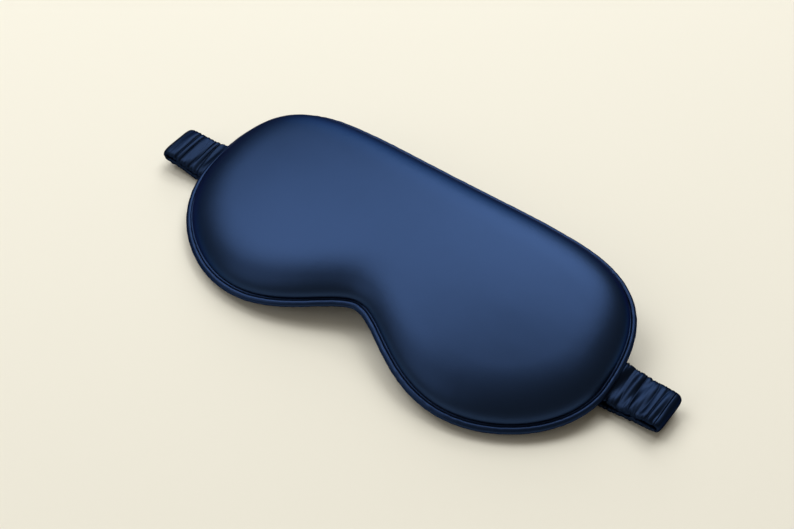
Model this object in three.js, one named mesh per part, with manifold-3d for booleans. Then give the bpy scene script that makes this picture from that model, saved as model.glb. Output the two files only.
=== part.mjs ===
// A padded satin sleep eye mask, lying front side up on its relaxed elastic strap. Millimetres, +Z up.
// +X runs along the mask, +Y points to its brow edge, and the origin is on the ground under its middle.
// The pad is a front and a back panel with a piped seam between them, round a blackout liner and a filling.
// The strap is one elastic band in a satin sleeve: it leaves the seam at one temple, folds back under the
// mask and runs along the ground to the other temple.
import * as THREE from "three";
import { mergeVertices } from "three/addons/utils/BufferGeometryUtils.js";
import Module from "manifold-3d";

const manifold = await Module();
manifold.setup();

// Outline of the pad, along its seam
const MASK_WIDTH = 210; // temple to temple
const MASK_HEIGHT = 96; // brow to the foot of the lobes
const BROW_PEAK_X = 57.6; // where the brow is highest, from the middle
const BROW_DIP = 1; // how far the middle of the brow lies below its peaks
const TEMPLE_Y = 0; // where the pad is widest
const LOBE_X = 51.7; // where each lobe is lowest, from the middle
const NOSE_NOTCH = 19.1; // how far the nose notch rises over the foot of the lobes

// Lengths of the curve handles on the outline, in order from the middle of the brow to the nose notch
const BROW_HANDLE = 29.9;
const PEAK_INNER_HANDLE = 24.5;
const PEAK_OUTER_HANDLE = 27.2;
const TEMPLE_UPPER_HANDLE = 39.6;
const TEMPLE_LOWER_HANDLE = 26.4;
const LOBE_OUTER_HANDLE = 24.9;
const LOBE_INNER_HANDLE = 25.1;
const NOTCH_HANDLE = 10.2;

// How the pad rests: its seam is not flat, because the pad curves round the face
const TEMPLE_LIFT = 9.8; // height of the seam over the ground at the temples
const BRIDGE_RISE = 10; // how much higher the middle is than the temples
const BRIDGE_POWER = 2.5; // above 2, the rise is flat in the middle and steep at the temples
const LEAN = 0.2; // rise for each millimetre towards the brow, because the strap props up the temples
const CUP = 3.3; // how far the brow and the lobes' feet curve down towards the face

// Layers of the pad
const FRONT_CROWN = 9.5; // from the seam to the top of the front panel
const BACK_CROWN = 6.5; // from the seam to the bottom of the back panel
const SHOULDER = 24; // width of the rounded border, in from the seam
const SHOULDER_POWER = 2.2; // above 2, the border turns down more squarely than an ellipse
const PANEL = 0.6; // satin with its backing
const LINER = 0.4;
const SEAM_ALLOWANCE = 8; // cloth turned in along the seam
const FILL_EASE = 0.8; // the filling is cut this much smaller than the space in the pad
const PIPING_RADIUS = 1.25;
const PIPING_WALL = 0.4;
const FLANGE_SLIT = 0.3; // between the two plies of the piping's flange
const THREAD_RADIUS = 0.25;
const STITCH_MARGIN = 3; // from the piping's roll to the line of stitches

// Strap
const ELASTIC_WIDTH = 15;
const ELASTIC_THICKNESS = 1;
const SLEEVE_WALL = 0.4;
const SLEEVE_EASE = 1.6; // room in the sleeve on each side of the elastic
const STRAP_Y = 6; // middle of the strap
const STRAP_SHOWN = 24.5; // how far the folds stand out past the temples
const FOLD_INSIDE = 1.4; // clear height inside a fold
const FOLD_LIFT = 3; // how far the elastic's spring holds a fold off the ground
const RISE_LENGTH = 26; // the strap leaves the ground this far before a fold
const STRAP_TAB = 6; // length of strap held inside the seam
const TACK_WIDTH = 1.4;
const TACK_THICKNESS = 0.5;

const GAP = 0.3; // left between pieces that touch
const STATIONS = 60; // round the outline
const SHOULDER_STEPS = 6;

const STRAP_WIDTH = ELASTIC_WIDTH + 2 * (SLEEVE_WALL + SLEEVE_EASE);
const STRAP_THICKNESS = ELASTIC_THICKNESS + 2 * (SLEEVE_WALL + GAP);
const HALF_WIDTH = MASK_WIDTH / 2;
const HALF_HEIGHT = MASK_HEIGHT / 2;
const FLANGE = FLANGE_SLIT / 2 + PIPING_WALL; // half the thickness of the flange
const HEM = FLANGE + GAP; // from the seam's middle to a panel's turned-in hem
const PANEL_RIM = 2 * PIPING_RADIUS + GAP; // where a panel starts, in from the outline
const THREAD_INSET = 2 * PIPING_RADIUS + STITCH_MARGIN; // from the outline to the line of stitches
const FOLD_RADIUS = (FOLD_INSIDE + STRAP_THICKNESS) / 2; // of the middle of the strap's thickness
const FOLD_X = HALF_WIDTH + STRAP_SHOWN - FOLD_RADIUS - STRAP_THICKNESS / 2;
const FOLD_TOP = STRAP_THICKNESS / 2 + FOLD_LIFT + 2 * FOLD_RADIUS;
const SEAT_SAG = CUP * ((Math.abs(STRAP_Y) + STRAP_WIDTH / 2) / HALF_HEIGHT) ** 2; // of the seam over the strap
const SEAT_DROP = PIPING_RADIUS + SEAT_SAG + GAP + STRAP_THICKNESS / 2; // from the seam to the strap's middle
const SEAT_END = HALF_WIDTH + GAP + PIPING_WALL; // the strap leaves the seam's slope here

// A lathe's radius counts down from the outline: these are the insets of its plateau and of its axis.
const AXIS_INSET = 60;
const PLATEAU_INSET = 45;
const OFFSET_ZONE = SEAM_ALLOWANCE + 1; // up to here an inset is a true distance from the outline
const PLATEAU_HALF_WIDTH = HALF_WIDTH - PLATEAU_INSET;
const PLATEAU_HALF_HEIGHT = (HALF_HEIGHT - NOSE_NOTCH - OFFSET_ZONE) * 0.4;

// Height of the seam over the ground, anywhere on the pad.
function seamHeight(x, y) {
  const bridge = BRIDGE_RISE * (1 - (Math.abs(x) / HALF_WIDTH) ** BRIDGE_POWER);
  return TEMPLE_LIFT + LEAN * y + bridge - CUP * (y / HALF_HEIGHT) ** 2;
}

// The outline from the middle of the brow, clockwise seen from the front. The left half mirrors the right.
function maskOutline() {
  const brow = HALF_HEIGHT - BROW_DIP;
  const notch = NOSE_NOTCH - HALF_HEIGHT;
  const curves = [
    [0, brow, BROW_HANDLE, brow, BROW_PEAK_X - PEAK_INNER_HANDLE, HALF_HEIGHT, BROW_PEAK_X, HALF_HEIGHT],
    [BROW_PEAK_X, HALF_HEIGHT, BROW_PEAK_X + PEAK_OUTER_HANDLE, HALF_HEIGHT,
      HALF_WIDTH, TEMPLE_Y + TEMPLE_UPPER_HANDLE, HALF_WIDTH, TEMPLE_Y],
    [HALF_WIDTH, TEMPLE_Y, HALF_WIDTH, TEMPLE_Y - TEMPLE_LOWER_HANDLE,
      LOBE_X + LOBE_OUTER_HANDLE, -HALF_HEIGHT, LOBE_X, -HALF_HEIGHT],
    [LOBE_X, -HALF_HEIGHT, LOBE_X - LOBE_INNER_HANDLE, -HALF_HEIGHT, NOTCH_HANDLE, notch, 0, notch],
  ];
  const outline = new THREE.Shape();
  outline.moveTo(0, brow);
  for (const [, , ax, ay, bx, by, x, y] of curves) outline.bezierCurveTo(ax, ay, bx, by, x, y);
  for (const [x, y, ax, ay, bx, by] of curves.toReversed()) outline.bezierCurveTo(-bx, by, -ax, ay, -x, y);
  return outline.getSpacedPoints(STATIONS).slice(0, STATIONS);
}

const outline = maskOutline();

// The inward normal of the outline at a station.
function inwardNormal(station) {
  const next = outline[(station + 1) % STATIONS];
  const last = outline[(station + STATIONS - 1) % STATIONS];
  const along = next.clone().sub(last).normalize();
  return new THREE.Vector2(along.y, -along.x);
}

// The point on a station's meridian at an inset: square in from the outline through the hem, then straight
// to a slim oval along the middle of the pad, then to the centre.
function onMeridian(station, inset) {
  const edge = outline[station];
  if (inset <= OFFSET_ZONE) return inwardNormal(station).multiplyScalar(inset).add(edge);
  const turn = Math.atan2(edge.y / HALF_HEIGHT, edge.x / HALF_WIDTH);
  const plateau = new THREE.Vector2(PLATEAU_HALF_WIDTH * Math.cos(turn), PLATEAU_HALF_HEIGHT * Math.sin(turn));
  if (inset > PLATEAU_INSET) {
    return plateau.multiplyScalar((AXIS_INSET - inset) / (AXIS_INSET - PLATEAU_INSET));
  }
  const share = (inset - OFFSET_ZONE) / (PLATEAU_INSET - OFFSET_ZONE);
  return onMeridian(station, OFFSET_ZONE).lerp(plateau, share);
}

// A point of a lathe's profile: how far in from the outline, and how far over the seam.
function at(inset, rise) {
  return new THREE.Vector2(AXIS_INSET - inset, rise);
}

// Turns a profile on a lathe, then pulls each meridian out to the outline and lays it on the curved seam.
function turnedToOutline(profile) {
  const geometry = new THREE.LatheGeometry(profile, STATIONS);
  const position = geometry.getAttribute("position");
  for (let i = 0; i < position.count; i++) {
    const point = profile[i % profile.length];
    const station = Math.floor(i / profile.length) % STATIONS;
    const spot = onMeridian(station, AXIS_INSET - point.x);
    position.setXYZ(i, spot.x, spot.y, point.y + seamHeight(spot.x, spot.y));
  }
  geometry.computeVertexNormals();
  return geometry;
}

// The profile of a domed surface, from its middle out to its rim.
function dome(rim, base, crown) {
  const middle = (AXIS_INSET + PLATEAU_INSET) / 2;
  const profile = [at(AXIS_INSET, crown), at(middle, crown), at(PLATEAU_INSET, crown)];
  for (let step = SHOULDER_STEPS; step >= 0; step--) {
    const share = (step / SHOULDER_STEPS) ** 2;
    const rise = (1 - (1 - share) ** SHOULDER_POWER) ** (1 / SHOULDER_POWER);
    profile.push(at(rim + share * SHOULDER, base + (crown - base) * rise));
  }
  return profile;
}

// The same profile on the other side of the seam.
function underside(profile) {
  return profile.map((point) => new THREE.Vector2(point.x, -point.y)).reverse();
}

// A round profile, centred at an inset and a rise.
function round(inset, rise, radius, sides) {
  const profile = [];
  for (let side = 0; side <= sides; side++) {
    const turn = (-2 * Math.PI * side) / sides;
    profile.push(at(inset - radius * Math.cos(turn), rise + radius * Math.sin(turn)));
  }
  return profile;
}

// A panel: domed outside and inside, with its edge turned in as a hem along the seam.
function panelProfile(crown) {
  const outside = dome(PANEL_RIM, HEM, crown);
  const hem = [at(SEAM_ALLOWANCE, HEM), at(SEAM_ALLOWANCE, HEM + PANEL)];
  const inside = dome(PANEL_RIM + PANEL, HEM + PANEL, crown - PANEL);
  return [...outside, ...hem, ...inside.toReversed()];
}

// The blackout liner hangs inside the front panel.
const LINER_RIM = PANEL_RIM + PANEL + GAP;
const LINER_BASE = HEM + PANEL + GAP;
const LINER_CROWN = FRONT_CROWN - PANEL - GAP;

function linerProfile() {
  const outside = dome(LINER_RIM, LINER_BASE, LINER_CROWN);
  const inside = dome(LINER_RIM + LINER, LINER_BASE, LINER_CROWN - LINER);
  return [...outside, ...inside.toReversed()];
}

// The filling reaches over and under the hems, and stays clear of the stitches on the upper one.
function fillingProfile() {
  const upperLedge = LINER_BASE + 2 * THREAD_RADIUS + GAP;
  const lowerLedge = HEM + PANEL + GAP;
  const above = dome(LINER_RIM + LINER + FILL_EASE, upperLedge, LINER_CROWN - LINER - FILL_EASE);
  const below = dome(PANEL_RIM + PANEL + FILL_EASE, lowerLedge, BACK_CROWN - PANEL - FILL_EASE);
  const waist = SEAM_ALLOWANCE + GAP;
  return [...above, at(waist, upperLedge), at(waist, -lowerLedge), ...underside(below)];
}

// The piping's cover: a strip wrapped round the cord, its two plies running into the seam as a flange.
function pipingProfile() {
  const arcSteps = 7;
  const inner = PIPING_RADIUS - PIPING_WALL;
  const wrap = (radius, halfOpening) => {
    const start = Math.asin(halfOpening / radius);
    const points = [];
    for (let step = 0; step <= arcSteps; step++) {
      const turn = start + (step / arcSteps) * 2 * (Math.PI - start);
      points.push(at(PIPING_RADIUS + radius * Math.cos(turn), radius * Math.sin(turn)));
    }
    return points;
  };
  const flangeStart = at(SEAM_ALLOWANCE, FLANGE);
  return [
    flangeStart,
    ...wrap(PIPING_RADIUS, FLANGE),
    at(SEAM_ALLOWANCE, -FLANGE),
    at(SEAM_ALLOWANCE, -FLANGE_SLIT / 2),
    ...wrap(inner, FLANGE_SLIT / 2).reverse(),
    at(SEAM_ALLOWANCE, FLANGE_SLIT / 2),
    flangeStart,
  ];
}

// A chain of points in the strap's upright plane, with one step of the extrusion for each link. Its ends are
// cut square to the ground.
class StrapPath extends THREE.Curve {
  constructor(points) {
    super();
    this.points = points.map(([x, z]) => new THREE.Vector3(x, 0, z));
  }

  getPoint(share) {
    const place = share * (this.points.length - 1);
    const link = Math.min(Math.floor(place), this.points.length - 2);
    return this.points[link].clone().lerp(this.points[link + 1], place - link);
  }

  getTangent(share) {
    const place = Math.round(share * (this.points.length - 1));
    const before = this.points[Math.max(place - 1, 0)];
    const after = this.points[Math.min(place + 1, this.points.length - 1)];
    const atAnEnd = place === 0 || place === this.points.length - 1;
    if (atAnEnd) return new THREE.Vector3(Math.sign(after.x - before.x), 0, 0);
    return after.clone().sub(before).normalize();
  }

  getPointAt(share) {
    return this.getPoint(share);
  }

  getTangentAt(share) {
    return this.getTangent(share);
  }
}

// A section across the strap. Its x axis is upright, because the paths start along the ground.
function flatSection(width, thickness, Kind) {
  const shape = new Kind();
  shape.moveTo(-thickness / 2, -width / 2);
  shape.lineTo(thickness / 2, -width / 2);
  shape.lineTo(thickness / 2, width / 2);
  shape.lineTo(-thickness / 2, width / 2);
  shape.closePath();
  return shape;
}

// Extrudes a section along the strap's path, at the strap's place.
function alongStrap(section, points) {
  const extrudePath = new StrapPath(points);
  const geometry = new THREE.ExtrudeGeometry(section, { extrudePath, steps: points.length - 1 });
  return geometry.translate(0, STRAP_Y, 0);
}

// Leans a side run with the pad: fully in the seam, not at all in the fold.
function leaned(geometry) {
  const position = geometry.getAttribute("position");
  for (let i = 0; i < position.count; i++) {
    const share = 1 - THREE.MathUtils.smoothstep(Math.abs(position.getX(i)), SEAT_END, FOLD_X);
    position.setZ(i, position.getZ(i) + LEAN * share * (position.getY(i) - STRAP_Y));
  }
  return geometry;
}

function sleeve(points) {
  const section = flatSection(STRAP_WIDTH, STRAP_THICKNESS, THREE.Shape);
  section.holes.push(flatSection(STRAP_WIDTH - 2 * SLEEVE_WALL, STRAP_THICKNESS - 2 * SLEEVE_WALL, THREE.Path));
  return alongStrap(section, points);
}

function elasticBand(points) {
  return alongStrap(flatSection(ELASTIC_WIDTH, ELASTIC_THICKNESS, THREE.Shape), points);
}

// From the top of one fold down to the ground, along it, and up to the top of the other fold.
function backRunPoints() {
  const arcSteps = 6;
  const riseSteps = 6;
  const fold = (side) => {
    const points = [];
    for (let step = 0; step <= arcSteps; step++) {
      const turn = (Math.PI * step) / arcSteps;
      const x = side * (FOLD_X + FOLD_RADIUS * Math.sin(turn));
      points.push([x, FOLD_TOP - FOLD_RADIUS * (1 - Math.cos(turn))]);
    }
    for (let step = 1; step <= riseSteps; step++) {
      const share = step / riseSteps;
      const lift = FOLD_LIFT * (1 - THREE.MathUtils.smoothstep(share, 0, 1));
      points.push([side * (FOLD_X - RISE_LENGTH * share), STRAP_THICKNESS / 2 + lift]);
    }
    return points;
  };
  return [...fold(-1), ...fold(1).reverse()];
}

// From the top of the right fold up to the temple, and into the seam.
function sideRunPoints() {
  const seat = (x) => new THREE.Vector2(x, seamHeight(x, STRAP_Y) - SEAT_DROP);
  const leaves = seat(SEAT_END);
  const slope = leaves.clone().sub(seat(SEAT_END - 1));
  const start = new THREE.Vector2(FOLD_X - GAP, FOLD_TOP);
  const pull = (start.x - leaves.x) / 3;
  const rise = new THREE.CubicBezierCurve(
    start,
    new THREE.Vector2(start.x - pull, start.y),
    leaves.clone().addScaledVector(slope, pull),
    leaves,
  );
  const inside = [STRAP_TAB / 2, STRAP_TAB].map((depth) => seat(HALF_WIDTH - depth));
  return [...rise.getPoints(8), ...inside].map((point) => [point.x, point.y]);
}

// A box laid on the curved seam: x and rise are its middles, from the pad's centre and the seam.
function boxOnSeam(x, rise, length, width, thickness) {
  const geometry = new THREE.BoxGeometry(length, width, thickness, 4, 4, 1);
  geometry.translate(x, STRAP_Y, rise);
  const position = geometry.getAttribute("position");
  for (let i = 0; i < position.count; i++) {
    position.setZ(i, position.getZ(i) + seamHeight(position.getX(i), position.getY(i)));
  }
  return geometry;
}

function solidOf(geometry) {
  const bare = geometry.clone();
  for (const name of ["normal", "uv"]) bare.deleteAttribute(name);
  const merged = mergeVertices(bare, 1e-4);
  const vertProperties = new Float32Array(merged.getAttribute("position").array);
  const triVerts = new Uint32Array(merged.index.array);
  return new manifold.Manifold(new manifold.Mesh({ numProp: 3, vertProperties, triVerts }));
}

function geometryOf(solid) {
  const { vertProperties, triVerts } = solid.getMesh();
  const geometry = new THREE.BufferGeometry();
  geometry.setAttribute("position", new THREE.BufferAttribute(vertProperties, 3));
  geometry.setIndex(new THREE.BufferAttribute(triVerts, 1));
  geometry.computeVertexNormals();
  return geometry;
}

// Opens the seam at both temples, so that the strap's ends can enter it under the piping.
function withStrapSlots(geometry) {
  const bottom = SEAT_DROP + STRAP_THICKNESS / 2 + GAP;
  const top = FLANGE + GAP / 2;
  const inner = HALF_WIDTH - STRAP_TAB - GAP;
  const length = STRAP_TAB + 2 * PIPING_RADIUS;
  let solid = solidOf(geometry);
  for (const side of [-1, 1]) {
    const middle = side * (inner + length / 2);
    const slot = boxOnSeam(middle, -(top + bottom) / 2, length, STRAP_WIDTH + 2 * GAP, bottom - top);
    solid = solid.subtract(solidOf(slot));
  }
  return geometryOf(solid);
}

// A row of dense stitches under each end of the strap, along the lip of the back panel.
function barTack() {
  const top = SEAT_DROP + STRAP_THICKNESS / 2 + GAP;
  const middle = HALF_WIDTH - STRAP_TAB + GAP + TACK_WIDTH / 2;
  return boxOnSeam(middle, -top - TACK_THICKNESS / 2, TACK_WIDTH, STRAP_WIDTH - 2, TACK_THICKNESS);
}

const satin = { color: 0x14204a, roughness: 0.38, metalness: 0 };
const finishes = {
  satin,
  piping: { ...satin, color: 0x111b40 },
  lining: { color: 0x0c0d12, roughness: 0.9, metalness: 0 },
  filling: { color: 0xe4e2dc, roughness: 1, metalness: 0 },
  cord: { color: 0xd8d6cf, roughness: 1, metalness: 0 },
  elastic: { color: 0x1b1e2a, roughness: 0.8, metalness: 0 },
  thread: { color: 0x101a3c, roughness: 0.6, metalness: 0 },
};

function named(name, geometry, finish) {
  const mesh = new THREE.Mesh(geometry, new THREE.MeshStandardMaterial(finish));
  mesh.name = name;
  return mesh;
}

function makePad() {
  const pad = new THREE.Group();
  const thread = round(THREAD_INSET, LINER_BASE + THREAD_RADIUS, THREAD_RADIUS, 6);
  const cord = round(PIPING_RADIUS, 0, PIPING_RADIUS - PIPING_WALL - GAP, 8);
  const back = turnedToOutline(underside(panelProfile(BACK_CROWN)));
  pad.add(
    named("front_panel", turnedToOutline(panelProfile(FRONT_CROWN)), finishes.satin),
    named("blackout_liner", turnedToOutline(linerProfile()), finishes.lining),
    named("padding_core", withStrapSlots(turnedToOutline(fillingProfile())), finishes.filling),
    named("back_panel", withStrapSlots(back), finishes.satin),
    named("piping_cover", turnedToOutline(pipingProfile()), finishes.piping),
    named("piping_cord", turnedToOutline(cord), finishes.cord),
    named("seam_thread", turnedToOutline(thread), finishes.thread),
  );
  return pad;
}

// One temple's end of the strap, for the right side; a mirrored group makes the left.
function makeTemple(side) {
  const temple = new THREE.Group();
  temple.add(
    named("strap_sleeve_" + side, leaned(sleeve(sideRunPoints())), finishes.satin),
    named("strap_elastic_" + side, leaned(elasticBand(sideRunPoints())), finishes.elastic),
    named("bar_tack_" + side, barTack(), finishes.thread),
  );
  return temple;
}

function makeBackRun() {
  const run = new THREE.Group();
  run.add(
    named("strap_sleeve_back", sleeve(backRunPoints()), finishes.satin),
    named("strap_elastic_back", elasticBand(backRunPoints()), finishes.elastic),
  );
  return run;
}

const sleepMask = new THREE.Group();
const leftTemple = makeTemple("left");
leftTemple.scale.x = -1;
sleepMask.add(makePad(), makeTemple("right"), leftTemple, makeBackRun());

export default sleepMask;
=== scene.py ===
"""A padded satin sleep eye mask, front side up on its gathered strap, in a small studio.

Everything is in metres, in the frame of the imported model: +X runs along the mask, +Y points to its brow edge,
+Z points up out of its front panel, and the origin is on the ground under its middle.
"""

import logging
import math
from dataclasses import dataclass, field
from enum import Enum
from typing import Any, Callable, Sequence

import bmesh
import bpy
import numpy as np
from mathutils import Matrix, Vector


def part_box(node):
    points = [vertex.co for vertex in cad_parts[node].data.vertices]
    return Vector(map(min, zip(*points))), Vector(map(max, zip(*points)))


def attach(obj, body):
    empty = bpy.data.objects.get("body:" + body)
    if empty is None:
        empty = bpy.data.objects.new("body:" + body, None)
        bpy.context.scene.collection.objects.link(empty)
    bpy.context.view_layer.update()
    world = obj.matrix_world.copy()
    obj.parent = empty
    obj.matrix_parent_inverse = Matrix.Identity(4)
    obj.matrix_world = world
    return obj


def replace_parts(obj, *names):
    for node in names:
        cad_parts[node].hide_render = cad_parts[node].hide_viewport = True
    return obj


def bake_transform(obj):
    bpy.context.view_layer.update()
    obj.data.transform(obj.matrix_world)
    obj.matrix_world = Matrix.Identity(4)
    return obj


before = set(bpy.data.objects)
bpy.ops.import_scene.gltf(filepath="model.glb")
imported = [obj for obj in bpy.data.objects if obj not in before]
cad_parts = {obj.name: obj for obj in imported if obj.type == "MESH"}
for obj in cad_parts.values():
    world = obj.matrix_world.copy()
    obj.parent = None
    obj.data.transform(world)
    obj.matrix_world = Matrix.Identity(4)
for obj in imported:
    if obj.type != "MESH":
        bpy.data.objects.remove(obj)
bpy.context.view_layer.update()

MM = 0.001
TAU = math.tau
MERGE = 0.01 * MM
Colour = tuple[float, float, float]
Pair = tuple[np.ndarray, np.ndarray]
Change = Callable[[np.ndarray, np.ndarray, np.ndarray], Pair]

log = logging.getLogger("sleep_mask")


class Shade:
    """A shader value that Python arithmetic adds Math nodes to."""

    def __init__(self, painter: "Painter", socket: bpy.types.NodeSocket) -> None:
        """Wraps an output socket of a painter's material."""
        self.painter = painter
        self.socket = socket

    def _math(self, operation: str, *terms: Any) -> "Shade":
        """Adds a Math node that joins the terms."""
        values = dict(enumerate(terms))
        return self.painter.value("ShaderNodeMath", {"operation": operation}, values)

    def __add__(self, other: Any) -> "Shade":
        """The sum."""
        return self._math("ADD", self, other)

    def __sub__(self, other: Any) -> "Shade":
        """The difference."""
        return self._math("SUBTRACT", self, other)

    def __rsub__(self, other: Any) -> "Shade":
        """The difference, taken from a plain number."""
        return self._math("SUBTRACT", other, self)

    def __mul__(self, other: Any) -> "Shade":
        """The product."""
        return self._math("MULTIPLY", self, other)

    __radd__ = __add__
    __rmul__ = __mul__

    def squeezed(self, low: float, high: float) -> "Shade":
        """A value from 0 to 1, taken to the range from low to high."""
        return self * (high - low) + low


class Painter:
    """Builds one material out of nodes."""

    def __init__(self, name: str) -> None:
        """Starts an empty material of that name."""
        self.material = bpy.data.materials.new(name)
        self.material.use_nodes = True
        self.tree = self.material.node_tree
        self.tree.nodes.clear()

    def node(self, kind: str, settings: dict[str, Any], inputs: dict[Any, Any]) -> bpy.types.Node:
        """Adds a node.

        Args:
            kind: the node's type.
            settings: its properties, which are set first.
            inputs: a number, colour or Shade for each named or numbered socket.

        Returns:
            The node.
        """
        node = self.tree.nodes.new(kind)
        for key, value in settings.items():
            setattr(node, key, value)
        for key, value in inputs.items():
            if isinstance(value, Shade):
                self.tree.links.new(value.socket, node.inputs[key])
            else:
                node.inputs[key].default_value = value
        return node

    def value(self, kind: str, settings: dict[str, Any], inputs: dict[Any, Any], out: Any = 0) -> Shade:
        """Adds a node and returns one of its outputs as a Shade."""
        return Shade(self, self.node(kind, settings, inputs).outputs[out])

    def place(self, scale: Sequence[float]) -> Shade:
        """Object coordinates times a scale for each axis."""
        spot = self.value("ShaderNodeTexCoord", {}, {}, "Object")
        return self.value("ShaderNodeMapping", {}, {"Vector": spot, "Scale": tuple(scale)})

    def noise(self, scale: Sequence[float], detail: float) -> Shade:
        """Noise from 0 to 1, with that many cells to the metre along each axis."""
        inputs = {"Vector": self.place(scale), "Scale": 1.0, "Detail": detail}
        return self.value("ShaderNodeTexNoise", {}, inputs)

    def waves(self, scale: Sequence[float], axis: str, distortion: float = 0.0) -> Shade:
        """Sine bands from 0 to 1.

        Args:
            scale: their rate along each axis.
            axis: the axis that they cross.
            distortion: how unsteady they are.

        Returns:
            Their value.
        """
        settings = {"wave_type": "BANDS", "bands_direction": axis, "wave_profile": "SIN"}
        inputs = {"Vector": self.place(scale), "Scale": 1.0, "Distortion": distortion}
        return self.value("ShaderNodeTexWave", settings, inputs, "Fac")

    def mixed(self, factor: Any, first: Any, second: Any) -> Shade:
        """Two colours mixed: the first where the factor is 0, and the second where it is 1."""
        inputs = {0: factor, 6: self._opaque(first), 7: self._opaque(second)}
        return self.value("ShaderNodeMix", {"data_type": "RGBA"}, inputs, 2)

    @staticmethod
    def _opaque(colour: Any) -> Any:
        """A plain colour with its alpha; a Shade is left alone."""
        return colour if isinstance(colour, Shade) else (*colour, 1.0)

    def bump(self, height: Shade, depth: float, over: Shade | None = None) -> Shade:
        """Turns a height into a normal.

        Args:
            height: from 0 to 1.
            depth: what a height of 1 stands for, in metres.
            over: another normal that it is laid over.

        Returns:
            The normal.
        """
        inputs = {"Height": height, "Distance": depth}
        if over is not None:
            inputs["Normal"] = over
        return self.value("ShaderNodeBump", {}, inputs)

    def finish(self, inputs: dict[str, Any]) -> bpy.types.Material:
        """Ends the material in a Principled shader with these inputs."""
        shader = self.value("ShaderNodeBsdfPrincipled", {}, inputs)
        self.node("ShaderNodeOutputMaterial", {}, {"Surface": shader})
        return self.material


@dataclass(frozen=True)
class Satin:
    """Smooth navy satin: a broad, tinted sheen over almost no diffuse colour, with fine floating threads.

    Attributes:
        name: the material's name.
        deep: the darker of its two close colours.
        bright: the lighter of them.
        metallic: how much of the sheen takes the thread's colour.
        edge: tint of the sheen at grazing angles.
        roughness: the middle of its roughness.
        spread: how far the roughness goes to either side of that.
        patches: patches of the two colours to the metre.
        float_length: length of a thread between two crossings.
        thread: width of a thread.
        thread_depth: of the grooves between threads.
        slack: depth of the faint, wide unevenness of cloth over a soft filling.
        slack_rate: its waves to the metre, along each axis.
    """

    name: str
    deep: Colour = (0.0185, 0.0365, 0.0880)
    bright: Colour = (0.0215, 0.0420, 0.1020)
    metallic: float = 0.98
    edge: Colour = (0.13, 0.17, 0.27)
    roughness: float = 0.41
    spread: float = 0.04
    patches: float = 45.0
    float_length: float = 2.2 * MM
    thread: float = 0.22 * MM
    thread_depth: float = 0.02 * MM
    slack: float = 0.06 * MM
    slack_rate: tuple[float, float, float] = (60.0, 90.0, 60.0)

    def paint(self) -> bpy.types.Material:
        """Builds the material."""
        painter = Painter(self.name)
        patches = painter.noise((self.patches,) * 3, detail=3.0)
        floats = painter.noise((1 / self.float_length, 1 / self.thread, 1 / self.thread), detail=1.0)
        relief = painter.bump(painter.noise(self.slack_rate, detail=1.0), self.slack)
        relief = painter.bump(floats, self.thread_depth, over=relief)
        low, high = self.roughness - self.spread, self.roughness + self.spread
        return painter.finish({
            "Base Color": painter.mixed(patches, self.deep, self.bright),
            "Metallic": self.metallic,
            "Specular Tint": (*self.edge, 1.0),
            "Roughness": (floats * 0.5 + patches * 0.5).squeezed(low, high),
            "Normal": relief,
        })


@dataclass(frozen=True)
class Woven:
    """A plain matt cloth of crossing threads.

    Attributes:
        name: the material's name.
        colour: of the threads' tops.
        gap: painted shade between the threads, a darker colour where the weave is low.
        thread: width of a thread.
        depth: of the gaps, as a share of the thread's width.
        roughness: of the whole cloth.
    """

    name: str
    colour: Colour
    gap: Colour
    thread: float
    depth: float = 0.3
    roughness: float = 0.9

    def paint(self) -> bpy.types.Material:
        """Builds the material."""
        painter = Painter(self.name)
        turns = math.pi / self.thread
        warp = painter.waves((turns, turns, turns), "X")
        weft = painter.waves((turns, turns, turns), "Y")
        height = warp * 0.5 + weft * 0.5
        return painter.finish({
            # The threads' colour darkens to the gap colour where they are low: painted shade.
            "Base Color": painter.mixed(height, self.gap, self.colour),
            "Roughness": self.roughness,
            "Normal": painter.bump(height, self.thread * self.depth),
        })


@dataclass(frozen=True)
class Wadding:
    """Soft off-white wadding, with a tangle of fibres.

    Attributes:
        name: the material's name.
        colour: of the fibres.
        shade: colour between them.
        fibres: fibres to the metre.
        fibre_depth: how deep their tangle is.
        tufts: tufts to the metre.
        tuft_depth: how deep those are.
        sheen: the soft light at its edges.
    """

    name: str
    colour: Colour
    shade: Colour
    fibres: float = 900.0
    fibre_depth: float = 0.25 * MM
    tufts: float = 160.0
    tuft_depth: float = 0.8 * MM
    sheen: float = 0.3

    def paint(self) -> bpy.types.Material:
        """Builds the material."""
        painter = Painter(self.name)
        tangle = painter.noise((self.fibres,) * 3, detail=6.0)
        tufts = painter.bump(painter.noise((self.tufts,) * 3, detail=3.0), self.tuft_depth)
        return painter.finish({
            "Base Color": painter.mixed(tangle, self.shade, self.colour),
            "Roughness": 1.0,
            "Sheen Weight": self.sheen,
            "Normal": painter.bump(tangle, self.fibre_depth, over=tufts),
        })


@dataclass(frozen=True)
class Yarn:
    """Twisted yarn, as in a cord or a sewing thread.

    Attributes:
        name: the material's name.
        colour: of the yarn.
        shade: colour in its grooves.
        fibre: width of a fibre.
        roughness: of its grooves at most.
        length: of a fibre, in widths.
    """

    name: str
    colour: Colour
    shade: Colour
    fibre: float
    roughness: float
    length: float = 4.0

    def paint(self) -> bpy.types.Material:
        """Builds the material."""
        painter = Painter(self.name)
        rate = 1 / self.fibre
        fibres = painter.noise((rate / self.length, rate, rate), detail=3.0)
        return painter.finish({
            "Base Color": painter.mixed(fibres, self.shade, self.colour),
            "Roughness": fibres.squeezed(self.roughness - 0.1, self.roughness),
            "Normal": painter.bump(fibres, self.fibre * 0.5),
        })


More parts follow.
